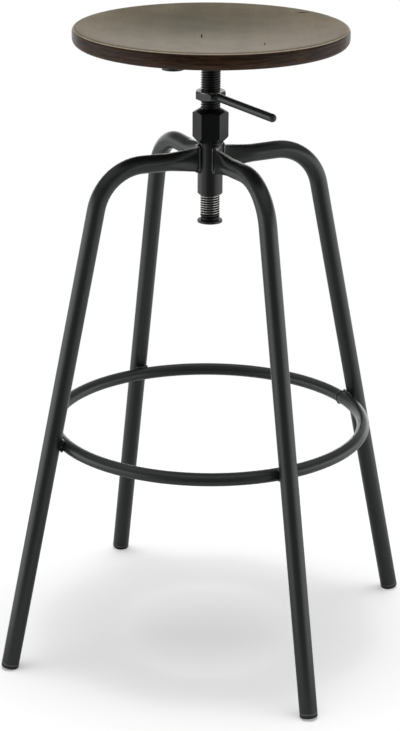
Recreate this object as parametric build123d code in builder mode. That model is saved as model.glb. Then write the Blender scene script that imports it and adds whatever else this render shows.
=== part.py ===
from build123d import *
import os
from math import cos, pi, radians, sin, sqrt, tan

# Screw-lift bar stool: a dished wooden seat on a threaded spindle, a lock nut with a lever,
# and a welded base of four bent tubes, a hub and a foot ring.
# Millimetres, +Z up, origin on the floor under the spindle; the legs lie on the diagonals.
os.makedirs("parts", exist_ok=True)

# Seat board
seat_diameter = 333.0
seat_height = 791.5
seat_thickness = 20.5
seat_lip = 8.5
dish_depth = 6.0
dish_blend = 60.0
seat_rim_radius = 5.0
seat_lower_radius = 8.5

# Seat spider, the cross under the board, and its wood screws
spider_reach = 149.0
arm_width = 26.0
arm_corner = 14.0
spider_thickness = 5.0
arm_count = 4
inner_screws = 62.0
outer_screws = 124.0
screw_shank = 4.5
screw_length = 17.0
screw_head = 9.0
screw_head_height = 3.0
screw_head_dome = 2.1
screw_slot = 1.0
screw_slot_depth = 1.4
screw_clearance = 0.1

# Spindle and the stop at its lower end
spindle_diameter = 24.0
spindle_showing = 52.1
stop_gap = 32.0
spigot_diameter = 14.0
neck_diameter = 22.4
neck_length = 3.6
spindle_chamfer = 0.6
spindle_weld = 4.0
spindle_weld_throat = 1.7
stop_diameter = 31.0
stop_thickness = 3.2
stop_edge = 0.8
stop_screw_diameter = 6.0
stop_screw_length = 16.0
stop_screw_head = 12.0
socket_across = 4.0
socket_depth = 2.0
seat_clearance = 0.05

# Lock nut and lever
nut_height = 10.5
nut_gap = 11.2
nut_across = 36.0
nut_wall = 1.5
nut_edge = 0.9
lever_angle = -41.4
lever_diameter = 10.0
lever_reach = 147.0
lever_spigot = 6.0
lever_spigot_length = 4.0
running_clearance = 0.05

# Threaded hub, turned from hexagon bar
hub_sleeve_length = 65.9
hub_diameter = 31.0
hub_edge = 2.0
hub_hexagon_length = 41.1
hub_across = 38.0
hub_corner_angle = -41.4
hub_land = 1.0
top_cone = 30.0
lower_cone = 45.0
corner_margin = 1.0
corner_to_flat = 30.0

# Legs: tube flattened at the hub, bent once, square cut at the foot
leg_azimuths = {"front_right": -45.0, "back_right": 45.0, "back_left": 135.0, "front_left": 225.0}
leg_diameter = 22.0
leg_wall = 1.5
foot_radius = 277.7
leg_lean = 12.17
run_drop = 21.0
run_rise = 1.1
bend_radius = 62.0
flat_thickness = 6.0
flat_length = 46.0
flat_stations = 5
flat_seam_angle = 7.0
hub_weld_leg = 3.0
hub_weld_throw = 4.0
hub_weld_toe = 0.3

# Foot plugs
plug_head = 5.0
plug_rim_radius = 2.5
plug_stem_length = 18.0
plug_stem_neck = 0.5
plug_barbs = 3
plug_clearance = 0.05
sole_cut = 1.0

# Foot ring, inside the legs
ring_height = 287.8
ring_diameter = 16.0
ring_wall = 1.5
weld_gap = 0.2
ring_weld_radius = 7.0

# Levels from the seat down, and radii that follow
seat_radius = seat_diameter / 2
seat_bottom = seat_height - seat_thickness
spider_bottom = seat_bottom - spider_thickness
nut_top = spider_bottom - spindle_showing
nut_bottom = nut_top - nut_height
hub_top = nut_bottom - nut_gap
hub_shoulder = hub_top - hub_hexagon_length
hub_bottom = hub_shoulder - hub_sleeve_length
run_height = hub_shoulder - run_drop
spindle_foot = hub_bottom - stop_gap
screw_rings = (inner_screws, outer_screws)
spindle_radius = spindle_diameter / 2
hub_radius = hub_diameter / 2
hub_bore = spindle_radius + running_clearance
leg_radius = leg_diameter / 2
ring_tube = ring_diameter / 2
flat_overlap = hub_radius / 2
weld_overlap = hub_radius / 4
hub_cut = 4 * leg_diameter
lean = radians(leg_lean)
rise = radians(run_rise)

# The leg's centre line in its own upright plane: run, knee and foot
run_start = Vector(hub_radius, 0, run_height)
run_way = Vector(cos(rise), 0, sin(rise))
leg_way = Vector(sin(lean), 0, -cos(lean))
axis_height = run_height - hub_radius * tan(rise)
knee_x = (foot_radius - axis_height * tan(lean)) / (1 + tan(rise) * tan(lean))
knee = Vector(knee_x, 0, axis_height + knee_x * tan(rise))
round_start = run_start + run_way * flat_length

# The plug's sole leans with the leg; its lowest edge is cut flat by the floor
sole_drop = (leg_radius - plug_rim_radius) * sin(lean) + plug_rim_radius * (1 - cos(lean))
sole_height = sole_drop - sole_cut
sole_centre = Vector(foot_radius - sole_height * tan(lean), 0, sole_height)
tube_end = sole_centre - leg_way * plug_head

# The ring touches the legs from inside, a weld gap away
leg_at_ring = foot_radius - ring_height * tan(lean)
ring_radius = leg_at_ring - (leg_radius + ring_tube) / cos(lean) - weld_gap
weld_point = Vector(ring_radius + ring_tube * cos(lean), 0, ring_height + ring_tube * sin(lean))


def flattened(width):
    """Height of a flattened tube of this width: the tube keeps its girth."""
    return width + pi * (leg_diameter - width) / 2


def oval(width, height, seam):
    """A tube section of four tangent arcs; a circle where it is as wide as high."""
    a = height / 2
    b = width / 2
    spread = (a - b) / (sin(seam) + cos(seam) - 1)
    tip = a - spread * sin(seam)
    side = tip + spread
    x = b - side * (1 - cos(seam))
    y = side * sin(seam)
    with BuildSketch(mode=Mode.PRIVATE) as section:
        with BuildLine():
            ThreePointArc((x, -y), (b, 0), (x, y))
            ThreePointArc((x, y), (0, a), (-x, y))
            ThreePointArc((-x, y), (-b, 0), (-x, -y))
            ThreePointArc((-x, -y), (0, -a), (x, -y))
        make_face()
    return section.sketch


def run_plane(distance):
    """The plane square to the leg's top run, at a distance from the hub's face."""
    return Plane(origin=run_start + run_way * distance, x_dir=(0, 1, 0), z_dir=run_way)


def leg_form(inset):
    """The leg as a solid, its surface moved in by the inset: 0 for the outside, the wall for the bore."""
    with BuildPart() as form:
        with BuildLine() as centre_line:
            FilletPolyline(round_start, knee, tube_end, radius=bend_radius)
        round_size = leg_diameter - 2 * inset
        with BuildSketch(run_plane(flat_length)):
            add(oval(round_size, round_size, pi / 4))
        sweep(path=centre_line.wire())
        # The flat end starts inside the hub, and the hub's round shape is cut out of it
        for station in range(flat_stations):
            share = station / (flat_stations - 1)
            ease = share * share * (3 - 2 * share)
            width = flat_thickness + (leg_diameter - flat_thickness) * ease
            height = flattened(width)
            seam = radians(flat_seam_angle) + (pi / 4 - radians(flat_seam_angle)) * ease
            with BuildSketch(run_plane((flat_length + flat_overlap) * share - flat_overlap)):
                add(oval(width - 2 * inset, height - 2 * inset, seam))
        loft()
        with Locations((0, 0, run_height)):
            Cylinder(hub_radius, hub_cut, mode=Mode.SUBTRACT)
    return form.part


def chamfered_hexagon(across, bottom, top, corner_angle, low_cone, high_cone, low_radius, high_radius):
    """A hexagon prism whose two ends are turned to cones, from the given end radii outwards."""
    reach = across / sqrt(3) + corner_margin
    low_rise = (reach - low_radius) * tan(radians(low_cone))
    high_fall = (reach - high_radius) * tan(radians(high_cone))
    with BuildPart() as hexagon:
        with BuildSketch(Plane.XY.offset(bottom)):
            RegularPolygon(across / 2, 6, major_radius=False, rotation=corner_angle)
        extrude(amount=top - bottom)
        with BuildSketch(Plane.XZ):
            Polygon(
                (0, bottom),
                (low_radius, bottom),
                (reach, bottom + low_rise),
                (reach, top - high_fall),
                (high_radius, top),
                (0, top),
                align=None,
            )
        revolve(axis=Axis.Z, mode=Mode.INTERSECT)
    return hexagon.part


# Seat: a turned board with a shallow dish and a rounded edge
with BuildPart() as seat_top:
    with BuildSketch(Plane.XZ) as seat_profile:
        dish_edge = seat_radius - seat_lip
        dish_radius = (dish_edge**2 + dish_depth**2) / (2 * dish_depth)
        dish_middle = seat_height - dish_depth + dish_radius - sqrt(dish_radius**2 - dish_edge**2 / 4)
        with BuildLine():
            Polyline((0, seat_height - dish_depth), (0, seat_bottom), (seat_radius, seat_bottom))
            Polyline((seat_radius, seat_bottom), (seat_radius, seat_height), (dish_edge, seat_height))
            ThreePointArc(
                (dish_edge, seat_height),
                (dish_edge / 2, dish_middle),
                (0, seat_height - dish_depth),
            )
        make_face()
        fillet(seat_profile.vertices().sort_by(Axis.X)[2], dish_blend)
        corners = seat_profile.vertices().sort_by(Axis.X)
        fillet(corners[-2:].sort_by(Axis.Y)[0], seat_lower_radius)
        corners = seat_profile.vertices().sort_by(Axis.Y)
        fillet(corners[-2:].sort_by(Axis.X)[-1], seat_rim_radius)
    revolve(axis=Axis.Z)
    for ring in screw_rings:
        with Locations(Plane.XY.offset(seat_bottom)):
            with PolarLocations(ring, arm_count):
                Cylinder(
                    screw_shank / 2 + screw_clearance,
                    screw_length - spider_thickness + screw_clearance,
                    align=(Align.CENTER, Align.CENTER, Align.MIN),
                    mode=Mode.SUBTRACT,
                )
seat_top.part.label = "seat_top"
export_step(seat_top.part, "parts/seat_top.step")

# Seat spider: a flat cross with rounded arm ends and a hole for the spindle's spigot
with BuildPart() as seat_spider:
    with BuildSketch(Plane.XY.offset(spider_bottom)) as cross:
        with PolarLocations(0, arm_count // 2, angular_range=180):
            SlotOverall(2 * spider_reach, arm_width)
        inner = cross.vertices().group_by(SortBy.DISTANCE)[0]
        fillet(inner, arm_corner)
        Circle(spigot_diameter / 2 + seat_clearance, mode=Mode.SUBTRACT)
        for ring in screw_rings:
            with PolarLocations(ring, arm_count):
                Circle(screw_shank / 2 + screw_clearance, mode=Mode.SUBTRACT)
    extrude(amount=spider_thickness)
seat_spider.part.label = "seat_spider"
export_step(seat_spider.part, "parts/seat_spider.step")

# Wood screws: domed heads under the spider, with a cross slot
with BuildPart() as seat_screws:
    for ring in screw_rings:
        with PolarLocations(ring, arm_count):
            with Locations((0, 0, spider_bottom)):
                Cylinder(
                    screw_shank / 2,
                    screw_length,
                    align=(Align.CENTER, Align.CENTER, Align.MIN),
                )
                Cylinder(
                    screw_head / 2,
                    screw_head_height,
                    align=(Align.CENTER, Align.CENTER, Align.MAX),
                )
    undersides = seat_screws.faces().filter_by(Axis.Z).group_by(Axis.Z)[0]
    fillet(undersides.edges(), screw_head_dome)
    for ring in screw_rings:
        with PolarLocations(ring, arm_count):
            with Locations((0, 0, spider_bottom - screw_head_height)):
                for turn in (0, 90):
                    Box(
                        screw_head / 2,
                        screw_slot,
                        2 * screw_slot_depth,
                        rotation=(0, 0, turn),
                        mode=Mode.SUBTRACT,
                    )
seat_screws.part.label = "seat_screws"
export_step(seat_screws.part, "parts/seat_screws.step")

# Spindle: the screw's plain envelope, with a spigot for the spider and a necked lower end
with BuildPart() as spindle:
    with BuildSketch(Plane.XZ):
        Polygon(
            (0, spindle_foot),
            (neck_diameter / 2, spindle_foot),
            (neck_diameter / 2, spindle_foot + neck_length),
            (spindle_radius - spindle_chamfer, spindle_foot + neck_length),
            (spindle_radius, spindle_foot + neck_length + spindle_chamfer),
            (spindle_radius, spider_bottom),
            (spigot_diameter / 2, spider_bottom),
            (spigot_diameter / 2, seat_bottom),
            (0, seat_bottom),
            align=None,
        )
    revolve(axis=Axis.Z)
    with Locations((0, 0, spindle_foot)):
        Cylinder(
            stop_screw_diameter / 2 + screw_clearance,
            stop_screw_length - stop_thickness + screw_clearance,
            align=(Align.CENTER, Align.CENTER, Align.MIN),
            mode=Mode.SUBTRACT,
        )
spindle.part.label = "spindle"
export_step(spindle.part, "parts/spindle.step")

# Fillet weld that holds the spider on the spindle's shoulder
with BuildPart() as spider_weld:
    with BuildSketch(Plane.XZ):
        weld_foot = (spindle_radius, spider_bottom - spindle_weld)
        weld_toe = (spindle_radius + spindle_weld, spider_bottom)
        weld_mid = (spindle_radius + spindle_weld_throat, spider_bottom - spindle_weld_throat)
        with BuildLine():
            Polyline(weld_foot, (spindle_radius, spider_bottom), weld_toe)
            ThreePointArc(weld_toe, weld_mid, weld_foot)
        make_face()
    revolve(axis=Axis.Z)
spider_weld.part.label = "spider_weld"
export_step(spider_weld.part, "parts/spider_weld.step")

# Stop disc: meets the hub when the seat is right up; countersunk for its screw
stop_bottom = spindle_foot - stop_thickness
sink_depth = (stop_screw_head - stop_screw_diameter) / 2
with BuildPart() as stop_disc:
    with Locations((0, 0, stop_bottom)):
        Cylinder(stop_diameter / 2, stop_thickness, align=(Align.CENTER, Align.CENTER, Align.MIN))
    fillet(stop_disc.edges().filter_by(GeomType.CIRCLE), stop_edge)
    with BuildSketch(Plane.XZ):
        Polygon(
            (0, stop_bottom),
            (stop_screw_head / 2 + screw_clearance, stop_bottom),
            (stop_screw_diameter / 2 + screw_clearance, stop_bottom + sink_depth),
            (stop_screw_diameter / 2 + screw_clearance, spindle_foot),
            (0, spindle_foot),
            align=None,
        )
    revolve(axis=Axis.Z, mode=Mode.SUBTRACT)
stop_disc.part.label = "stop_disc"
export_step(stop_disc.part, "parts/stop_disc.step")

# Countersunk screw of the stop disc, with a hexagon socket
with BuildPart() as stop_screw:
    with BuildSketch(Plane.XZ):
        Polygon(
            (0, stop_bottom),
            (stop_screw_head / 2, stop_bottom),
            (stop_screw_diameter / 2, stop_bottom + sink_depth),
            (stop_screw_diameter / 2, stop_bottom + stop_screw_length),
            (0, stop_bottom + stop_screw_length),
            align=None,
        )
    revolve(axis=Axis.Z)
    with BuildSketch(Plane.XY.offset(stop_bottom)):
        RegularPolygon(socket_across / 2, 6, major_radius=False)
    extrude(amount=socket_depth, mode=Mode.SUBTRACT)
stop_screw.part.label = "stop_screw"
export_step(stop_screw.part, "parts/stop_screw.step")

# Lock nut: a chamfered hexagon round its threaded core, drilled for the lever
nut_core = spindle_radius + running_clearance + nut_wall
nut_bore = nut_core + running_clearance
nut_middle = nut_bottom + nut_height / 2
lever_plane = Plane(
    origin=(0, 0, nut_middle),
    x_dir=(0, 0, 1),
    z_dir=(cos(radians(lever_angle)), sin(radians(lever_angle)), 0),
)
lever_seat = lever_plane.offset(nut_across / 2)
spigot_start = lever_plane.offset(nut_across / 2 - lever_spigot_length)
nut_face = nut_across / 2 - nut_edge
nut_hexagon = chamfered_hexagon(
    nut_across, nut_bottom, nut_top, lever_angle + corner_to_flat, top_cone, top_cone, nut_face, nut_face
)
with BuildPart() as lock_nut:
    add(nut_hexagon)
    with Locations((0, 0, nut_bottom)):
        Cylinder(
            nut_bore,
            nut_height,
            align=(Align.CENTER, Align.CENTER, Align.MIN),
            mode=Mode.SUBTRACT,
        )
    with BuildSketch(spigot_start):
        Circle(lever_spigot / 2 + screw_clearance)
    extrude(amount=lever_spigot_length, mode=Mode.SUBTRACT)
lock_nut.part.label = "lock_nut"
export_step(lock_nut.part, "parts/lock_nut.step")

# The nut's threaded core, which rises and falls with the nut
with BuildPart() as lock_nut_core:
    with BuildSketch(Plane.XY.offset(nut_bottom)):
        Circle(nut_core)
        Circle(spindle_radius + running_clearance, mode=Mode.SUBTRACT)
    extrude(amount=nut_height)
lock_nut_core.part.label = "lock_nut_core"
export_step(lock_nut_core.part, "parts/lock_nut_core.step")

# Lever: a round bar with a domed end and a spigot screwed into the nut's flat
with BuildPart() as lock_lever:
    with BuildSketch(spigot_start):
        Circle(lever_spigot / 2)
    extrude(amount=lever_spigot_length)
    with BuildSketch(lever_seat):
        Circle(lever_diameter / 2)
    extrude(amount=lever_reach - nut_across / 2 - lever_diameter / 2)
    with Locations(lever_plane.offset(lever_reach - lever_diameter / 2).origin):
        Sphere(lever_diameter / 2)
lock_lever.part.label = "lock_lever"
export_step(lock_lever.part, "parts/lock_lever.step")

# Hub: hexagon bar with a turned sleeve below, bored for the spindle
hub_face = hub_bore + hub_land
hub_hexagon = chamfered_hexagon(
    hub_across, hub_shoulder, hub_top, hub_corner_angle, lower_cone, top_cone, hub_radius, hub_face
)
with BuildPart() as screw_hub:
    add(hub_hexagon)
    with Locations((0, 0, hub_bottom)):
        Cylinder(hub_radius, hub_shoulder - hub_bottom, align=(Align.CENTER, Align.CENTER, Align.MIN))
    chamfer(screw_hub.edges().filter_by(GeomType.CIRCLE).sort_by(Axis.Z)[0], hub_edge)
    with Locations((0, 0, hub_bottom)):
        Cylinder(
            hub_bore,
            hub_top - hub_bottom,
            align=(Align.CENTER, Align.CENTER, Align.MIN),
            mode=Mode.SUBTRACT,
        )
screw_hub.part.label = "screw_hub"
export_step(screw_hub.part, "parts/screw_hub.step")

# Legs: one bent and flattened tube, turned to the four corners
leg_outside = leg_form(0)
leg_bore = leg_form(leg_wall)
for corner, azimuth in leg_azimuths.items():
    with BuildPart() as leg:
        add(leg_outside, rotation=(0, 0, azimuth))
        add(leg_bore, rotation=(0, 0, azimuth), mode=Mode.SUBTRACT)
    leg.part.label = f"leg_{corner}"
    export_step(leg.part, f"parts/leg_{corner}.step")

# Foot plugs: a barbed stem in the tube and a rounded head, flat where it stands
foot_plane = Plane(origin=tube_end, x_dir=(0, 1, 0), z_dir=leg_way)
stem_radius = leg_radius - leg_wall - plug_clearance
barb_pitch = plug_stem_length / plug_barbs
with BuildPart() as plug_form:
    with BuildSketch(foot_plane):
        Circle(leg_radius)
    extrude(amount=plug_head)
    sole_edge = plug_form.edges().filter_by(GeomType.CIRCLE).sort_by(Axis.Z)[0]
    fillet(sole_edge, plug_rim_radius)
    for barb in range(plug_barbs):
        root = foot_plane.offset(-barb_pitch * barb)
        with BuildSketch(root):
            Circle(stem_radius)
        with BuildSketch(root.offset(-barb_pitch)):
            Circle(stem_radius - plug_stem_neck)
        loft()
    split(bisect_by=Plane.XY, keep=Keep.TOP)
for corner, azimuth in leg_azimuths.items():
    with BuildPart() as plug:
        add(plug_form.part, rotation=(0, 0, azimuth))
    plug.part.label = f"foot_plug_{corner}"
    export_step(plug.part, f"parts/foot_plug_{corner}.step")

# Foot ring: a closed hoop of tube
with BuildPart() as ring_outside:
    with BuildSketch(Plane.XZ):
        with Locations((ring_radius, ring_height)):
            Circle(ring_tube)
    revolve(axis=Axis.Z)
with BuildPart() as foot_ring:
    with BuildSketch(Plane.XZ):
        with Locations((ring_radius, ring_height)):
            Circle(ring_tube)
            Circle(ring_tube - ring_wall, mode=Mode.SUBTRACT)
    revolve(axis=Axis.Z)
foot_ring.part.label = "foot_ring"
export_step(foot_ring.part, "parts/foot_ring.step")

# Welds between ring and legs: a puddle round each point of contact
with BuildPart() as ring_weld:
    with Locations(weld_point):
        Sphere(ring_weld_radius)
    add(leg_outside, mode=Mode.SUBTRACT)
    add(ring_outside.part, mode=Mode.SUBTRACT)
with BuildPart() as ring_welds:
    for azimuth in leg_azimuths.values():
        add(ring_weld.part, rotation=(0, 0, azimuth))
ring_welds.part.label = "ring_welds"
export_step(ring_welds.part, "parts/ring_welds.step")

# Welds between legs and hub: a fillet all round each flattened end
flat_height = flattened(flat_thickness)
with BuildPart() as hub_weld:
    for distance, leg_of_weld in ((-weld_overlap, hub_weld_leg), (hub_weld_throw, hub_weld_toe)):
        with BuildSketch(run_plane(distance)):
            RectangleRounded(
                flat_thickness + 2 * leg_of_weld,
                flat_height + 2 * leg_of_weld,
                flat_thickness / 2,
            )
    loft()
    add(leg_outside, mode=Mode.SUBTRACT)
    with Locations((0, 0, run_height)):
        Cylinder(hub_radius, hub_cut, mode=Mode.SUBTRACT)
with BuildPart() as hub_welds:
    for azimuth in leg_azimuths.values():
        add(hub_weld.part, rotation=(0, 0, azimuth))
hub_welds.part.label = "hub_welds"
export_step(hub_welds.part, "parts/hub_welds.step")
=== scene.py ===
# %% [markdown]
# A bar stool with a screw-lift seat
# This lesson dresses the solids of a bar stool: a dished wooden seat on a threaded spindle, a lock nut with
# a lever, four bent and welded tube legs and a foot ring. The solids are loaded first and never change. The
# thread, the weld beads and every finish are made here. Sizes are in metres, and a pair of limits is where
# a smooth step starts and ends.

# %% Load the solids
import math
import bmesh
import bpy
from mathutils import Matrix, Vector


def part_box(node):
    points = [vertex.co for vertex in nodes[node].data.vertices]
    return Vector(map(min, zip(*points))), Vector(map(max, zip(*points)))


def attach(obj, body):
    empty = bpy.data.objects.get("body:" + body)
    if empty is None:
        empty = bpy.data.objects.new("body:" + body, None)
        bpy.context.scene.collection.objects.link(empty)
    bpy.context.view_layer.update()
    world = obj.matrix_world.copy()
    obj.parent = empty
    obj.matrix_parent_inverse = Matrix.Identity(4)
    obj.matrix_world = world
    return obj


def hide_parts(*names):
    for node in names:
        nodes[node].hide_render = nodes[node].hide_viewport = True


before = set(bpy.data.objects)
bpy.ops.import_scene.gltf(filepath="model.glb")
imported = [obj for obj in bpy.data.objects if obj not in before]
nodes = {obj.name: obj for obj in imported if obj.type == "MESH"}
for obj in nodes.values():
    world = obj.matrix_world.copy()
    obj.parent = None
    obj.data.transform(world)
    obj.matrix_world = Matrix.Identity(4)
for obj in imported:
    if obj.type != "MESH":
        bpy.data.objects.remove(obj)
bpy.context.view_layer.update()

# %% [markdown]
# The camera
# The photograph was taken from in front and a little to the right, from above the seat, with a long lens.
# A camera can be aimed with a Track To constraint, but the fitted view also has a small roll, so its matrix
# is built from the pitch, yaw and roll that were found.

# %% Camera
VIEW_TURN = math.radians(18.54)
CAMERA_PITCH = 0.34014
CAMERA_YAW = -0.0043
CAMERA_ROLL = 0.0056
CAMERA_DISTANCE = 2.5819
CAMERA_HEIGHT = 1.2757
SENSOR_WIDTH = 36.0
LENS = 107.116


def add_object(name, data):
    """A new object in the scene."""
    made = bpy.data.objects.new(name, data)
    bpy.context.scene.collection.objects.link(made)
    return made


stool_to_camera = Vector((math.sin(VIEW_TURN), -math.cos(VIEW_TURN), 0))
camera_data = bpy.data.cameras.new("photo_camera")
camera_data.sensor_width = SENSOR_WIDTH
camera_data.lens = LENS
camera = add_object("photo_camera", camera_data)
aim = Matrix.Rotation(VIEW_TURN - CAMERA_YAW, 4, "Z")
aim = aim @ Matrix.Rotation(math.pi / 2 - CAMERA_PITCH, 4, "X")
aim = aim @ Matrix.Rotation(CAMERA_ROLL, 4, "Z")
camera_place = stool_to_camera * CAMERA_DISTANCE + Vector((0, 0, CAMERA_HEIGHT))
camera.matrix_world = Matrix.Translation(camera_place) @ aim
bpy.context.scene.camera = camera
print("camera at", [round(v, 4) for v in camera.matrix_world.translation])

# %% [markdown]
# Shader maths in plain Python
# A material is a network of nodes, and a sum of two sockets is a Math node with two links. To keep the
# finishes readable, one class wraps a socket and turns +, -, * and / into Math nodes, and another holds a
# node tree and adds any other node by its type, its settings and its inputs.

# %% A socket that does sums
class Amount:
    """A number that varies over a surface: a node's output socket."""

    def __init__(self, finish, socket):
        self.finish = finish
        self.socket = socket

    def maths(self, operation, first, second=0.0):
        """The result of a Math node."""
        made = self.finish.node("ShaderNodeMath", {"operation": operation}, {0: first, 1: second})
        return Amount(self.finish, made.outputs[0])

    def __add__(self, other):
        return self.maths("ADD", self, other)

    def __sub__(self, other):
        return self.maths("SUBTRACT", self, other)

    def __mul__(self, other):
        return self.maths("MULTIPLY", self, other)

    def __truediv__(self, other):
        return self.maths("DIVIDE", self, other)

    def __pow__(self, other):
        return self.maths("POWER", self, other)

    def __abs__(self):
        return self.maths("ABSOLUTE", self)

    def __rsub__(self, other):
        return self.maths("SUBTRACT", other, self)

    __radd__ = __add__
    __rmul__ = __mul__


def length(first, second):
    """The length of a pair of amounts."""
    return (first * first + second * second) ** 0.5


print("sums ready")

# %% A node tree that takes new nodes
class Finish:
    """A node tree, with one method that adds nodes to it and a few that use that method."""

    def __init__(self, tree):
        self.tree = tree

    def node(self, kind, settings=None, inputs=None):
        """Adds a node by its type, its settings and the values or links of its sockets."""
        made = self.tree.nodes.new(kind)
        for name, value in (settings or {}).items():
            setattr(made, name, value)
        for key, value in (inputs or {}).items():
            self.feed(made.inputs[key], value)
        return made

    def feed(self, socket, value):
        """Links a varying value to a socket, or sets a constant on it."""
        if isinstance(value, Amount):
            self.tree.links.new(value.socket, socket)
        elif isinstance(value, bpy.types.NodeSocket):
            self.tree.links.new(value, socket)
        else:
            socket.default_value = value

    def shade(self, **inputs):
        """Feeds inputs of the shader by name, such as Base_Color."""
        for name, value in inputs.items():
            self.feed(self.shader.inputs[name.replace("_", " ")], value)

    def amount(self, kind, settings, inputs, output):
        """One output of a new node, as a number that can be used in sums."""
        return Amount(self, self.node(kind, settings, inputs).outputs[output])

    def step(self, value, low, high):
        """0 below low, 1 above high, smooth between."""
        return self.amount(
            "ShaderNodeMapRange",
            {"interpolation_type": "SMOOTHSTEP"},
            {"Value": value, "From Min": low, "From Max": high},
            "Result",
        )

    def mix(self, share, first, second):
        """A colour between two colours; on a Mix node, sockets 6 and 7 take them and 2 gives the result."""
        made = self.node("ShaderNodeMix", {"data_type": "RGBA"}, {"Factor": share, 6: first, 7: second})
        return made.outputs[2]


print("node trees ready")

# %% Materials, noise and bump
def new_finish(name, **constants):
    """A material with a Principled shader, whose even values are set on the shader itself."""
    material = bpy.data.materials.new(name)
    material.use_nodes = True
    finish = Finish(material.node_tree)
    finish.material = material
    finish.shader = material.node_tree.nodes["Principled BSDF"]
    finish.place = finish.node("ShaderNodeTexCoord").outputs["Object"]
    finish.shade(**constants)
    return finish


def axes(finish):
    """The three coordinates of a place on the piece, in metres."""
    parts = finish.node("ShaderNodeSeparateXYZ", {}, {0: finish.place})
    return [Amount(finish, parts.outputs[axis]) for axis in "XYZ"]


def noise(finish, scale, detail=3.0, roughness=0.5, place=None):
    """A cloud pattern, from about 0.3 to 0.7, with features about 1 / scale metres wide."""
    where = finish.place if place is None else place
    return finish.amount(
        "ShaderNodeTexNoise",
        {},
        {"Vector": where, "Scale": scale, "Detail": detail, "Roughness": roughness},
        "Fac",
    )


def bump(finish, height, depth):
    """Links a height pattern to the shader's normal; the depth is in metres."""
    made = finish.node("ShaderNodeBump", {}, {"Height": height, "Distance": depth, "Strength": 1.0})
    finish.shade(Normal=made.outputs["Normal"])


print("shader helpers ready")

# %% [markdown]
# The room's light
# The photograph shows black tubes that are dark in front with pale flanks. A plain white world would make
# them evenly grey, and a ring of lamps would leave hard streaks on them. So the world itself is bright low
# down at both sides and behind, and dim on the camera's side and above: a sum of smooth steps over the
# direction of view. Reflections see a soft panel overhead as well, and the camera sees plain white.

# %% Directions in the room
world = bpy.data.worlds.new("studio")
bpy.context.scene.world = world
world.use_nodes = True
room = Finish(world.node_tree)
room.shader = world.node_tree.nodes["Background"]
facing = room.node("ShaderNodeTexCoord").outputs["Generated"]


def along(direction):
    """How far a view direction points along another direction, from -1 to 1."""
    inputs = {0: facing, 1: direction}
    return room.amount("ShaderNodeVectorMath", {"operation": "DOT_PRODUCT"}, inputs, "Value")


to_front = along(stool_to_camera)
to_right = along((math.cos(VIEW_TURN), math.sin(VIEW_TURN), 0))
upward = along((0, 0, 1))
overhead = room.step(upward, 0.40, 0.95)
low_down = (1.0 - room.step(upward, 0.05, 0.36)) * (0.45 + 0.55 * room.step(upward, -0.30, -0.05))
at_sides = (1.0 - room.step(to_front, 0.40, 0.93)) * room.step(to_front, -0.90, -0.10)
at_back = 1.0 - room.step(to_front, -0.95, -0.60)
front_right = room.step(to_right, 0.0, 0.6) * room.step(to_front, -0.55, -0.10)
print("directions ready")

# %% Light from each direction
DIM_LIGHT = 0.15
TOP_LIGHT = 0.22
TOP_PANEL = 0.40
LOW_LIGHT = 0.02
SIDE_LIGHT = 2.542
RIGHT_EXTRA = 0.31
FRONT_RIGHT_CUT = 0.30
BACK_LIGHT = 2.2
light_path = room.node("ShaderNodeLightPath")
reflected = Amount(room, light_path.outputs["Is Glossy Ray"])
seen = Amount(room, light_path.outputs["Is Camera Ray"])
seen = seen + Amount(room, light_path.outputs["Is Transmission Ray"])
from_top = overhead * (TOP_LIGHT + TOP_PANEL * reflected)
from_sides = at_sides * (SIDE_LIGHT + RIGHT_EXTRA * to_right) * (1.0 - FRONT_RIGHT_CUT * front_right)
from_back = BACK_LIGHT * at_back
room_light = DIM_LIGHT + from_top + low_down * (LOW_LIGHT + from_sides + from_back)
room.shade(Color=(1, 1, 1, 1), Strength=room_light * (1.0 - seen) + seen)
bpy.context.scene.view_settings.view_transform = "Standard"
print("world ready")

# %% [markdown]
# The lamp and the floor
# The stool stands on a white floor that runs on into the white background, with one wide soft shadow. A wide
# oval lamp high above gives that shadow, and is hidden from reflections so that it leaves no bright streak.
# The floor is a disc. Part of what the camera sees of it is glow, which hides its edge, and the rest is lit
# and keeps the shadow. To other rays it is a little darker, so that it lights the legs less from below.

# %% Lamp
LAMP_WIDTH = 5.2
LAMP_DEPTH = 3.9
LAMP_POWER = 640.0
LAMP_HEIGHT = 9.0
LAMP_SETBACK = 0.3
lamp_data = bpy.data.lights.new("overhead", "AREA")
lamp_data.shape = "ELLIPSE"
lamp_data.size = LAMP_WIDTH
lamp_data.size_y = LAMP_DEPTH
lamp_data.energy = LAMP_POWER
lamp = add_object("overhead", lamp_data)
lamp_place = Matrix.Translation(stool_to_camera * -LAMP_SETBACK + Vector((0, 0, LAMP_HEIGHT)))
lamp.matrix_world = lamp_place @ Matrix.Rotation(VIEW_TURN, 4, "Z")
lamp.visible_glossy = False
print("lamp at", [round(v, 4) for v in lamp.matrix_world.translation])

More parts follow.
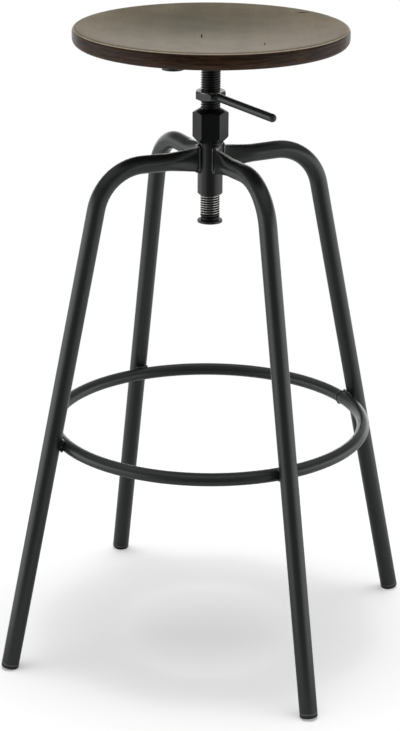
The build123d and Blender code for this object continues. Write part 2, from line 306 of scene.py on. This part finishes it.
# %% Floor
FLOOR_RADIUS = 0.62
FLOOR_SEEN = (0.9, 0.9, 0.9, 1)
FLOOR_UNSEEN = (0.64, 0.64, 0.64, 1)
GLOW_STRENGTH = 1.354
GLOW_SHARE = 0.25
floor_mesh = bmesh.new()
bmesh.ops.create_circle(floor_mesh, cap_ends=True, segments=96, radius=FLOOR_RADIUS)
floor_data = bpy.data.meshes.new("floor")
floor_mesh.to_mesh(floor_data)
floor_mesh.free()
floor = add_object("floor", floor_data)
floor_finish = new_finish("floor_white", Roughness=0.9, Specular_IOR_Level=0.0)
floor_path = floor_finish.node("ShaderNodeLightPath")
floor_seen = Amount(floor_finish, floor_path.outputs["Is Camera Ray"])
floor_finish.shade(Base_Color=floor_finish.mix(floor_seen, FLOOR_UNSEEN, FLOOR_SEEN))
glow = floor_finish.node("ShaderNodeEmission", {}, {"Strength": GLOW_STRENGTH})
lit_and_glow = {0: floor_seen * GLOW_SHARE, 1: floor_finish.shader.outputs[0], 2: glow.outputs[0]}
floor_mix = floor_finish.node("ShaderNodeMixShader", {}, lit_and_glow)
floor_out = floor_finish.tree.nodes["Material Output"]
floor_finish.feed(floor_out.inputs["Surface"], floor_mix.outputs[0])
floor_data.materials.append(floor_finish.material)
print("floor radius", FLOOR_RADIUS)

# %% [markdown]
# Black paint
# The legs, ring, lever and hub are satin black. Powder coat is never quite even: it has a fine orange peel
# and its gloss drifts slowly. Both are noise on the object's own coordinates, in one function that three
# paints share. The hub's paint is deeper and has more gloss below its hexagon, and the paint on the weld
# beads is the glossiest.

# %% Black paints
PAINT_TINT = (0.93, 1.0, 0.965, 1)
PEEL_DEPTH = 0.00006
HEXAGON_LIMITS = (0.648, 0.652)
HUB_GLOSS = 0.55


def black_paint(name, dark, pale, roughness, **constants):
    """A black paint between two blacks, with a gloss that drifts and a fine orange peel."""
    paint = new_finish(name, Specular_Tint=PAINT_TINT, **constants)
    peel = noise(paint, 520.0, 2.0)
    drift = noise(paint, 14.0, 2.0)
    dust = noise(paint, 160.0)
    paint.black = paint.mix(drift, (*dark, 1), (*pale, 1))
    paint.shade(Base_Color=paint.black, Roughness=roughness + 0.12 * drift + 0.08 * dust)
    bump(paint, peel, PEEL_DEPTH)
    return paint


coat = black_paint("black_powder_coat", (0.0125, 0.0145, 0.0132), (0.0180, 0.0204, 0.0190), 0.23)
hub_paint = black_paint(
    "black_hub_paint",
    (0.0045, 0.0055, 0.0047),
    (0.0072, 0.0084, 0.0074),
    0.20,
    Specular_IOR_Level=0.20,
    Coat_Roughness=0.32,
)
hub_level = axes(hub_paint)[2]
below_hexagon = 1.0 - hub_paint.step(hub_level, *HEXAGON_LIMITS)
hub_paint.shade(Coat_Weight=HUB_GLOSS * below_hexagon)
weld_paint = black_paint(
    "black_weld_paint",
    (0.0050, 0.0058, 0.0051),
    (0.0090, 0.0100, 0.0092),
    0.14,
    Coat_Weight=1.0,
    Coat_Roughness=0.12,
)
print("black paints ready")

# %% [markdown]
# Painted highlights on the legs
# Two pale lines are painted into the coat of each leg as highlights: one along the upper ridge of its
# flattened end, where a thin line of light runs, and one round the cut edge of the tube above its foot
# plug, where that edge catches light. They could be painted on with vertex colours, but the solids stay as
# they are. So each is a mask, a product of smooth steps over distances that follow from the coordinates.
# The legs stand on the two diagonals, where x squared equals y squared.

# %% Painted ridge highlights
RIDGE_LEVEL = 0.6396
RIDGE_TOP = RIDGE_LEVEL + 0.010
RIDGE_FADE = 0.001
PLANE_LIMITS = (0.0012, 0.0026)
HUB_LIMITS = (0.045, 0.080)
RIDGE_HIGHLIGHT_GREY = (0.80, 0.80, 0.78, 1)
leg_east, leg_north, leg_level = axes(coat)
leg_reach = length(leg_east, leg_north)
off_plane = abs(leg_east * leg_east - leg_north * leg_north) / (2.0 * leg_reach)
near_plane = 1.0 - coat.step(off_plane, *PLANE_LIMITS)
near_hub = 1.0 - coat.step(leg_reach, *HUB_LIMITS)
over_foot = coat.step(leg_level, RIDGE_LEVEL, RIDGE_LEVEL + RIDGE_FADE)
under_top = 1.0 - coat.step(leg_level, RIDGE_TOP, RIDGE_TOP + RIDGE_FADE)
# A pale line painted along each ridge as its highlight.
on_ridge_highlight = near_plane * near_hub * over_foot * under_top
ridge_highlighted_coat = coat.mix(on_ridge_highlight, coat.black, RIDGE_HIGHLIGHT_GREY)
print("ridges from height", RIDGE_LEVEL)

# %% Painted highlight on the cut tube ends
LEG_LEAN = math.radians(12.17)
LEG_RADIUS = 0.011
FOOT_RADIUS = 0.2777
EDGE_LIMITS = (0.0010, 0.0018)
CUT_EDGE_HIGHLIGHT = (0.10, 0.11, 0.105, 1)
end_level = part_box("leg_front_left")[0].z + LEG_RADIUS * math.sin(LEG_LEAN)
end_reach = FOOT_RADIUS - math.tan(LEG_LEAN) * end_level
end_place = end_level * math.cos(LEG_LEAN) - end_reach * math.sin(LEG_LEAN)
up_tube = leg_level * math.cos(LEG_LEAN) - leg_reach * math.sin(LEG_LEAN) - end_place
# A pale ring painted round each tube's cut edge, as the highlight that edge catches.
on_end_highlight = 1.0 - coat.step(up_tube, *EDGE_LIMITS)
coat.shade(Base_Color=coat.mix(on_end_highlight, ridge_highlighted_coat, CUT_EDGE_HIGHLIGHT))
print("tube ends at height", round(end_level, 4))

# %% [markdown]
# Stained wood
# The seat is a turned board, stained dark and varnished. A flat picture of wood would have to bend over the
# edge, but wood is a solid material, so its grain is noise stretched along one direction of the object's
# coordinates: it then shows long streaks on top, and its pores come out as dots at the front of the rim, as
# on a real board.

# %% Grain
GRAIN_STRETCH = 16.0
wood = new_finish("dark_stained_wood", Coat_Roughness=0.22, Specular_IOR_Level=0.07)
grain_place = wood.node(
    "ShaderNodeMapping",
    {"vector_type": "TEXTURE"},
    {"Vector": wood.place, "Rotation": (0, 0, VIEW_TURN), "Scale": (1.0, GRAIN_STRETCH, 1.0)},
).outputs[0]
streaks = noise(wood, 260.0, 4.0, 0.6, grain_place)
bands = noise(wood, 30.0, 3.0, 0.55, grain_place)
pores = wood.step(noise(wood, 900.0, 2.0, 0.5, grain_place), 0.60, 0.72)
blotches = noise(wood, 24.0, 3.0, 0.6)
figure = wood.step(0.35 * streaks + 0.3 * bands + 0.35 * blotches, 0.38, 0.62)
print("grain ready")

# %% [markdown]
# Where the stain differs, and painted shade and highlight
# The stain soaks deeper into the turned rim, which is redder and darker than the top and has fine lines
# round it from the lathe. The dish is painted darker than the border around it, as shade, and where the top
# rolls over into the rim, a thin pale line is painted along the front as a highlight. These are masks again,
# over the distance from the axis and the drop below the top.

# %% Places on the seat
ROLL_INSET = 0.0048
HIGHLIGHT_LINE_DROP = (0.0004, 0.0009)
RIM_DROP = (0.0012, 0.0020)
SIDE_DROP = (0.0075, 0.0095)
FRONT_LIMITS = (-0.10, -0.03)
DISH_SHADE_ACROSS = -0.015
DISH_SHADE_ALONG = 0.06
DISH_SHADE_LIMITS = (0.02, 0.15)
seat_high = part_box("seat_top")[1]
seat_radius = seat_high.x
seat_east, seat_north, seat_level = axes(wood)
across_grain = seat_east * math.cos(VIEW_TURN) + seat_north * math.sin(VIEW_TURN)
along_grain = seat_north * math.cos(VIEW_TURN) - seat_east * math.sin(VIEW_TURN)
from_axis = length(across_grain, along_grain)
drop = seat_high.z - seat_level
on_roll = wood.step(from_axis, seat_radius - ROLL_INSET, seat_radius - 0.75 * ROLL_INSET)
on_side = wood.step(drop, *SIDE_DROP)
below_line = on_roll * wood.step(drop, *RIM_DROP)
on_rim = 1.0 - (1.0 - below_line) * (1.0 - on_side)
# A thin pale line painted along the front of the roll as its highlight; it fades towards the back.
highlight_front_fade = 1.0 - 0.7 * wood.step(along_grain, *FRONT_LIMITS)
on_highlight_line = on_roll * wood.step(drop, *HIGHLIGHT_LINE_DROP) * (1.0 - on_rim) * highlight_front_fade * (0.3 + streaks)
# The dish's painted shade: a soft patch a little behind the axis and to its left.
from_dish_shade = length(across_grain - DISH_SHADE_ACROSS, along_grain - DISH_SHADE_ALONG)
in_shaded_dish = 1.0 - wood.step(from_dish_shade, *DISH_SHADE_LIMITS)
print("seat radius", round(seat_radius, 4), "top", round(seat_high.z, 4))

# %% Browns
ROLL_HIGHLIGHT_BROWN = (0.36, 0.32, 0.265, 1)
RIM_SQUEEZE = 0.06
# Inside the dish both browns are painted darker, as shade.
pale_brown = wood.mix(in_shaded_dish, (0.138, 0.108, 0.066, 1), (0.083, 0.068, 0.038, 1))
dark_brown = wood.mix(in_shaded_dish, (0.098, 0.076, 0.045, 1), (0.057, 0.047, 0.025, 1))
top_brown = wood.mix(on_highlight_line, wood.mix(figure, dark_brown, pale_brown), ROLL_HIGHLIGHT_BROWN)
rim_place = wood.node(
    "ShaderNodeMapping",
    {},
    {"Vector": wood.place, "Scale": (RIM_SQUEEZE, RIM_SQUEEZE, 1.0)},
).outputs[0]
turning = wood.step(noise(wood, 600.0, 3.0, 0.6, rim_place), 0.36, 0.64)
side_brown = wood.mix(turning, (0.021, 0.0095, 0.0045, 1), (0.060, 0.030, 0.015, 1))
roll_brown = wood.mix(turning, (0.014, 0.0065, 0.003, 1), (0.040, 0.019, 0.009, 1))
brown = wood.mix(on_rim, top_brown, wood.mix(on_side, roll_brown, side_brown))
print("browns ready")

# %% [markdown]
# Marks and varnish
# Three small marks lie in the top: two cracks along the grain and a scrape across it. Each is an ellipse,
# whose mask darkens the wood, roughens it and takes the varnish away. The varnish is a thin coat, thickest on
# the rim and thinnest in the dish.

# %% Marks and varnish
SEAT_MARKS = (
    {"across": -0.0112, "along": -0.0325, "half_width": 0.0013, "half_length": 0.018},
    {"across": 0.0619, "along": -0.0909, "half_width": 0.0010, "half_length": 0.011},
    {"across": 0.1130, "along": 0.0980, "half_width": 0.012, "half_length": 0.003},
)
MARK_BLACK = (0.006, 0.004, 0.002, 1)
TOP_VARNISH = 0.088
DISH_VARNISH = 0.048
RIM_VARNISH = 0.15
WOOD_DEPTH = 0.00008
marked = 0.0
for mark in SEAT_MARKS:
    across = (across_grain - mark["across"]) / mark["half_width"]
    lengthways = (along_grain - mark["along"]) / mark["half_length"]
    marked = marked + (1.0 - wood.step(length(across, lengthways), 0.4, 1.0))
top_varnish = TOP_VARNISH - (TOP_VARNISH - DISH_VARNISH) * in_shaded_dish
varnish = top_varnish * (1.0 - on_rim) + RIM_VARNISH * on_rim
wood.shade(
    Base_Color=wood.mix(0.25 * pores + marked, brown, MARK_BLACK),
    Roughness=0.42 + 0.14 * streaks + 0.4 * marked,
    Coat_Weight=varnish * (1.0 - marked),
)
bump(wood, 0.5 * streaks - 0.4 * pores - 2.0 * marked, WOOD_DEPTH)
print("wood ready, with", len(SEAT_MARKS), "marks")

# %% [markdown]
# Blackened steel, zinc and plastic
# The lock nut and the stop disc are blackened steel, a little blotchy, and a bright band is painted along
# the nut's upper chamfer as its highlight. The screws are zinc plated, and the foot plugs are moulded
# plastic with a fine grain. All three are plain mixes of two tones by noise, because they are small in the
# view.

# %% Blackened steel
CHAMFER = 0.0012
CHAMFER_FADE = 0.0007
CHAMFER_HIGHLIGHT_STEEL = (0.52, 0.52, 0.51, 1)
nut_low, nut_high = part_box("lock_nut")
black_steel = new_finish("blackened_steel", Metallic=0.65)
steel_drift = noise(black_steel, 60.0)
steel_scratch = noise(black_steel, 700.0, 2.0)
nut_level = axes(black_steel)[2]
# A pale band painted along the nut's upper chamfer, as its highlight.
chamfer_foot = nut_high.z - CHAMFER
on_chamfer_highlight = black_steel.step(nut_level, chamfer_foot, chamfer_foot + CHAMFER_FADE)
blackened = black_steel.mix(steel_drift, (0.030, 0.030, 0.031, 1), (0.075, 0.075, 0.076, 1))
black_steel.shade(
    Base_Color=black_steel.mix(on_chamfer_highlight, blackened, CHAMFER_HIGHLIGHT_STEEL),
    Roughness=0.22 + 0.18 * steel_drift,
)
bump(black_steel, steel_scratch, 0.00004)
print("blackened steel ready")

# %% Zinc and plastic
zinc = new_finish("zinc_plate", Metallic=1.0)
spangle = noise(zinc, 300.0)
zinc.shade(
    Base_Color=zinc.mix(spangle, (0.35, 0.35, 0.34, 1), (0.55, 0.55, 0.52, 1)),
    Roughness=0.25 + 0.2 * spangle,
)
plastic = new_finish("black_plastic")
scuff = noise(plastic, 90.0)
plastic.shade(
    Base_Color=plastic.mix(scuff, (0.007, 0.007, 0.007, 1), (0.014, 0.014, 0.014, 1)),
    Roughness=0.45 + 0.2 * scuff,
)
bump(plastic, noise(plastic, 900.0), 0.00005)
print("zinc and plastic ready")

# %% [markdown]
# Dress the solids
# Each solid keeps its shape and gets a finish in its material slot. Most of the stool is powder coated, so
# a loop gives every node that coat, unless its name asks for another finish.

# %% Finishes on the solids
finishes = {
    "seat_top": wood,
    "screw_hub": hub_paint,
    "lock_nut": black_steel,
    "lock_nut_core": black_steel,
    "stop_disc": black_steel,
    "stop_screw": zinc,
    "seat_screws": zinc,
}
for name, node in nodes.items():
    finish = finishes.get(name, plastic if name.startswith("foot_plug") else coat)
    for material_slot in node.material_slots:
        material_slot.material = finish.material
print("dressed", len(nodes), "nodes")

# %% [markdown]
# The threaded spindle
# A thread is one profile carried round and up. A Screw modifier could do it, but its ends stop on a slant.
# Here the profile of a single pitch is drawn as a few vertices and spun about the axis with a rise of one
# pitch per turn, so that each turn meets the last. Copies are stacked by doubling, and the ends are cut off
# square and closed. A plain neck and a plain spigot finish the two ends.

# %% Profile of one pitch
PITCH = 0.003
CREST_SHARE = 0.30
ROOT_SHARE = 0.22
THREAD_DEPTH = 0.00185
NECK_LENGTH = 0.0036
SPIGOT_LENGTH = 0.005
spindle_low, spindle_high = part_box("spindle")
crest_radius = spindle_high.x
root_radius = crest_radius - THREAD_DEPTH
thread_low = spindle_low.z + NECK_LENGTH
thread_high = spindle_high.z - SPIGOT_LENGTH
crest = PITCH * CREST_SHARE
root = PITCH * ROOT_SHARE
profile = [
    (crest_radius, 0.0),
    (crest_radius, crest),
    (root_radius, (PITCH + crest - root) / 2),
    (root_radius, (PITCH + crest + root) / 2),
    (crest_radius, PITCH),
]
print("thread from", round(thread_low, 4), "to", round(thread_high, 4))

# %% Turns of the thread
THREAD_SIDES = 40
MERGE = 1e-6
thread = bmesh.new()
points = [thread.verts.new((r, 0, thread_low - PITCH + z)) for r, z in profile]
lines = [thread.edges.new(pair) for pair in zip(points, points[1:])]
bmesh.ops.spin(
    thread,
    geom=points + lines,
    cent=(0, 0, 0),
    axis=(0, 0, 1),
    dvec=(0, 0, PITCH / THREAD_SIDES),
    angle=math.tau,
    steps=THREAD_SIDES,
)
doublings = math.ceil(math.log2((thread_high - thread_low) / PITCH + 2))
for doubling in range(doublings):
    copy = bmesh.ops.duplicate(thread, geom=thread.verts[:] + thread.edges[:] + thread.faces[:])["geom"]
    copied = [item for item in copy if isinstance(item, bmesh.types.BMVert)]
    bmesh.ops.translate(thread, verts=copied, vec=(0, 0, PITCH * 2**doubling))
bmesh.ops.remove_doubles(thread, verts=thread.verts, dist=MERGE)
print("turns before the cut:", 2**doublings)

# %% Square ends, neck and spigot
NECK_RADIUS = 0.0112
SPIGOT_RADIUS = 0.007
PLAIN_SIDES = 48
OVERLAP = 0.0002
for cut_level, up in ((thread_low, -1), (thread_high, 1)):
    cut = bmesh.ops.bisect_plane(
        thread,
        geom=thread.verts[:] + thread.edges[:] + thread.faces[:],
        plane_co=(0, 0, cut_level),
        plane_no=(0, 0, up),
        clear_outer=True,
    )
    rim = [item for item in cut["geom_cut"] if isinstance(item, bmesh.types.BMEdge)]
    bmesh.ops.contextual_create(thread, geom=rim)


def plain_length(bm, radius, foot, top):
    """Adds a plain round length of the spindle: half its outline, spun about the axis."""
    outline = [(0, foot), (radius, foot), (radius, top), (0, top)]
    dots = [bm.verts.new((r, 0, z)) for r, z in outline]
    ways = [bm.edges.new(pair) for pair in zip(dots, dots[1:])]
    bmesh.ops.spin(
        bm,
        geom=dots + ways,
        cent=(0, 0, 0),
        axis=(0, 0, 1),
        angle=math.tau,
        steps=PLAIN_SIDES,
        use_merge=True,
    )
    bmesh.ops.remove_doubles(bm, verts=bm.verts, dist=MERGE)


plain_length(thread, NECK_RADIUS, spindle_low.z, thread_low + OVERLAP)
plain_length(thread, SPIGOT_RADIUS, thread_high - OVERLAP, spindle_high.z)
print("spindle:", len(thread.faces), "faces")

# %% [markdown]
# Rubbed thread
# The spindle is black, but below the hub its crests are rubbed bright, apart from the lowest turns. The
# crest faces could have a bright material of their own, but wear has no sharp edge. So a mask over the
# radius finds the crests, and two over the height find the rubbed stretch.

# %% Thread finish
CREST_LIMITS = (crest_radius - 0.0007, crest_radius - 0.0001)
HUB_HEIGHTS = (0.596, 0.640)
STOP_HEIGHTS = (thread_low + 0.0020, thread_low + 0.0065)
SPINDLE_BLACK = (0.005, 0.005, 0.005, 1)
CREST_STEEL = (0.48, 0.47, 0.45, 1)
screw_steel = new_finish("threaded_steel", Specular_IOR_Level=0.24)
screw_east, screw_north, screw_level = axes(screw_steel)
screw_reach = length(screw_east, screw_north)
on_crest = screw_steel.step(screw_reach, *CREST_LIMITS)
below_hub = 1.0 - screw_steel.step(screw_level, *HUB_HEIGHTS)
above_stop = screw_steel.step(screw_level, *STOP_HEIGHTS)
rubbed = on_crest * below_hub * above_stop * (0.4 + noise(screw_steel, 220.0))
screw_steel.shade(
    Base_Color=screw_steel.mix(rubbed, SPINDLE_BLACK, CREST_STEEL),
    Metallic=rubbed,
    Roughness=0.34 - 0.14 * rubbed,
)
bump(screw_steel, noise(screw_steel, 800.0, 2.0), 0.00003)
print("thread finish ready")

# %% Thread as a piece
def keep_mesh(bm, name, finish, body):
    """Turns a finished bmesh into a piece that rides on a body."""
    bmesh.ops.recalc_face_normals(bm, faces=bm.faces)
    data = bpy.data.meshes.new(name)
    bm.to_mesh(data)
    bm.free()
    data.materials.append(finish.material)
    piece = add_object(name, data)
    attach(piece, body)
    return piece


spindle_thread = keep_mesh(thread, "threaded_spindle", screw_steel, "seat")
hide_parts("spindle")
print("thread:", len(spindle_thread.data.polygons), "faces")

# %% [markdown]
# Weld beads
# A hand weld is a row of small overlapping puddles. A row of spheres would need hundreds of faces for each
# bead, so a bead is a curve with a round bevel whose radius swells and shrinks along the way, which is then
# made a mesh. Every weld of the stool is made by this one function from its own list of points.

# %% Bead
RIPPLE_LEAST = 0.88
RIPPLE_SWELL = 0.17
RIPPLE_POINTS = 4


def weld_bead(name, paths, radius, finish, body):
    """Rippled beads along lists of points."""
    data = bpy.data.curves.new(name, "CURVE")
    data.dimensions = "3D"
    data.bevel_depth = radius
    data.bevel_resolution = 2
    data.use_fill_caps = True
    for way in paths:
        spline = data.splines.new("POLY")
        spline.points.add(len(way) - 1)
        for index, (point, place) in enumerate(zip(spline.points, way)):
            point.co = (*place, 1)
            swell = abs(math.sin(index * math.pi / RIPPLE_POINTS))
            point.radius = RIPPLE_LEAST + RIPPLE_SWELL * swell
    draft = add_object(name, data)
    solid = bpy.data.meshes.new_from_object(draft.evaluated_get(bpy.context.evaluated_depsgraph_get()))
    bpy.data.objects.remove(draft)
    bm = bmesh.new()
    bm.from_mesh(solid)
    bpy.data.meshes.remove(solid)
    bmesh.ops.remove_doubles(bm, verts=bm.verts, dist=MERGE)
    piece = keep_mesh(bm, name, finish, body)
    print(name, "has", len(piece.data.polygons), "faces")


print("bead helper ready")

# %% [markdown]
# Beads on the hub
# Each leg is welded to the hub all round its flattened end. The way round that end is a slot, two straight
# lines with a half circle at each end. It is drawn flat and then wrapped on the hub's round sleeve by
# turning the distance across into an angle.

# %% Hub beads
LEG_AZIMUTHS = [math.radians(a) for a in (-45, 45, 135, 225)]
SLEEVE_RADIUS = 0.0155
FLAT_HALF_WIDTH = 0.0042
FLAT_HALF_HEIGHT = 0.0118
HUB_BEAD_RADIUS = 0.0017
HUB_BEAD_STANDOFF = 0.0012
HUB_BEAD_LIFT = 0.0017
END_STEPS = 8
LINE_STEPS = 26
welds_low, welds_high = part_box("hub_welds")
weld_middle = (welds_low.z + welds_high.z) / 2


def hub_loop(azimuth):
    """The way round a leg's flattened end, wrapped on the hub's round sleeve."""
    flat = []
    for side in (1, -1):
        for step in range(LINE_STEPS):
            share = 1 - 2 * step / LINE_STEPS
            flat.append((side * FLAT_HALF_WIDTH, side * FLAT_HALF_HEIGHT * share))
        for step in range(END_STEPS):
            turn = math.pi * step / END_STEPS
            across = side * FLAT_HALF_WIDTH * math.cos(turn)
            flat.append((across, -side * (FLAT_HALF_HEIGHT + FLAT_HALF_WIDTH * math.sin(turn))))
    flat.append(flat[0])
    reach = SLEEVE_RADIUS + HUB_BEAD_STANDOFF
    way = []
    for across, up in flat:
        angle = azimuth + across / SLEEVE_RADIUS
        way.append((reach * math.cos(angle), reach * math.sin(angle), weld_middle + HUB_BEAD_LIFT + up))
    return way


hub_ways = [hub_loop(azimuth) for azimuth in LEG_AZIMUTHS]
weld_bead("hub_weld_beads", hub_ways, HUB_BEAD_RADIUS, weld_paint, "frame")

# %% [markdown]
# Beads on the ring
# The ring touches the inside of each leg, and a short bead lies in the groove above and below each point of
# contact. Such a bead bends back with the leg's round flank. The hoop was closed by a weld across the ring,
# which shows as a thin bead round the tube with a lump under it.

# %% Ring beads
RING_TUBE = 0.008
RING_BEAD_RADIUS = 0.0019
RING_BEAD_HALF_LENGTH = 0.0075
RING_BEAD_RISE = 0.0060
RING_BEAD_INSET = 0.0016
RING_BEAD_STEPS = 21
ring_low, ring_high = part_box("foot_ring")
ring_height = (ring_low.z + ring_high.z) / 2
ring_radius = ring_high.x - RING_TUBE
up_leg = Vector((-math.sin(LEG_LEAN), 0, math.cos(LEG_LEAN)))
out_of_ring = Vector((math.cos(LEG_LEAN), 0, math.sin(LEG_LEAN)))
touch = Vector((ring_radius, 0, ring_height)) + out_of_ring * RING_TUBE


def ring_bead(azimuth, side):
    """A short way along the groove between ring and leg, above or below their point of contact."""
    to_azimuth = Matrix.Rotation(azimuth, 3, "Z")
    way = []
    for step in range(RING_BEAD_STEPS):
        across = RING_BEAD_HALF_LENGTH * (2 * step / (RING_BEAD_STEPS - 1) - 1)
        recede = LEG_RADIUS - math.sqrt(LEG_RADIUS**2 - across**2)
        middle = touch + up_leg * (side * RING_BEAD_RISE) + out_of_ring * (0.5 * recede - RING_BEAD_INSET)
        way.append(to_azimuth @ Vector((middle.x, across, middle.z)))
    return way


ring_ways = [ring_bead(azimuth, side) for azimuth in LEG_AZIMUTHS for side in (1, -1)]
weld_bead("ring_weld_beads", ring_ways, RING_BEAD_RADIUS, weld_paint, "frame")

# %% Seam of the ring
SEAM_AZIMUTH = VIEW_TURN + math.radians(27.6)
SEAM_BEAD_RADIUS = 0.0009
SEAM_STEPS = 48
LUMP_RADIUS = 0.0019
LUMP_STEPS = slice(31, 42)
UP = Vector((0, 0, 1))


def round_way(middle, first, second, radius, steps):
    """A closed circle in the plane of two directions."""
    way = []
    for step in range(steps + 1):
        turn = math.tau * step / steps
        way.append(middle + first * (radius * math.cos(turn)) + second * (radius * math.sin(turn)))
    return way


seam_out = Vector((math.cos(SEAM_AZIMUTH), math.sin(SEAM_AZIMUTH), 0))
seam_middle = seam_out * ring_radius + UP * ring_height
seam_way = round_way(seam_middle, seam_out, UP, RING_TUBE, SEAM_STEPS)
weld_bead("ring_seam_bead", [seam_way], SEAM_BEAD_RADIUS, weld_paint, "frame")
weld_bead("ring_seam_lump", [seam_way[LUMP_STEPS]], LUMP_RADIUS, weld_paint, "frame")

# %% [markdown]
# Bead on the lever
# The lever is welded to one flat of the lock nut. Its bead is a circle round the rod, just off the flat, and
# it rides on the nut's body, so that it turns with the lever.

# %% Lever bead
LEVER_AZIMUTH = math.radians(-41.4)
LEVER_STEPS = 32
LEVER_LOOP_RADIUS = 0.0049
LEVER_BEAD_RADIUS = 0.0011
LEVER_BEAD_STANDOFF = 0.0004
NUT_FLAT = 0.018
lever_out = Vector((math.cos(LEVER_AZIMUTH), math.sin(LEVER_AZIMUTH), 0))
lever_root = lever_out * (NUT_FLAT + LEVER_BEAD_STANDOFF) + UP * ((nut_low.z + nut_high.z) / 2)
lever_way = round_way(lever_root, UP.cross(lever_out), UP, LEVER_LOOP_RADIUS, LEVER_STEPS)
weld_bead("lever_weld_bead", [lever_way], LEVER_BEAD_RADIUS, black_steel, "lock")
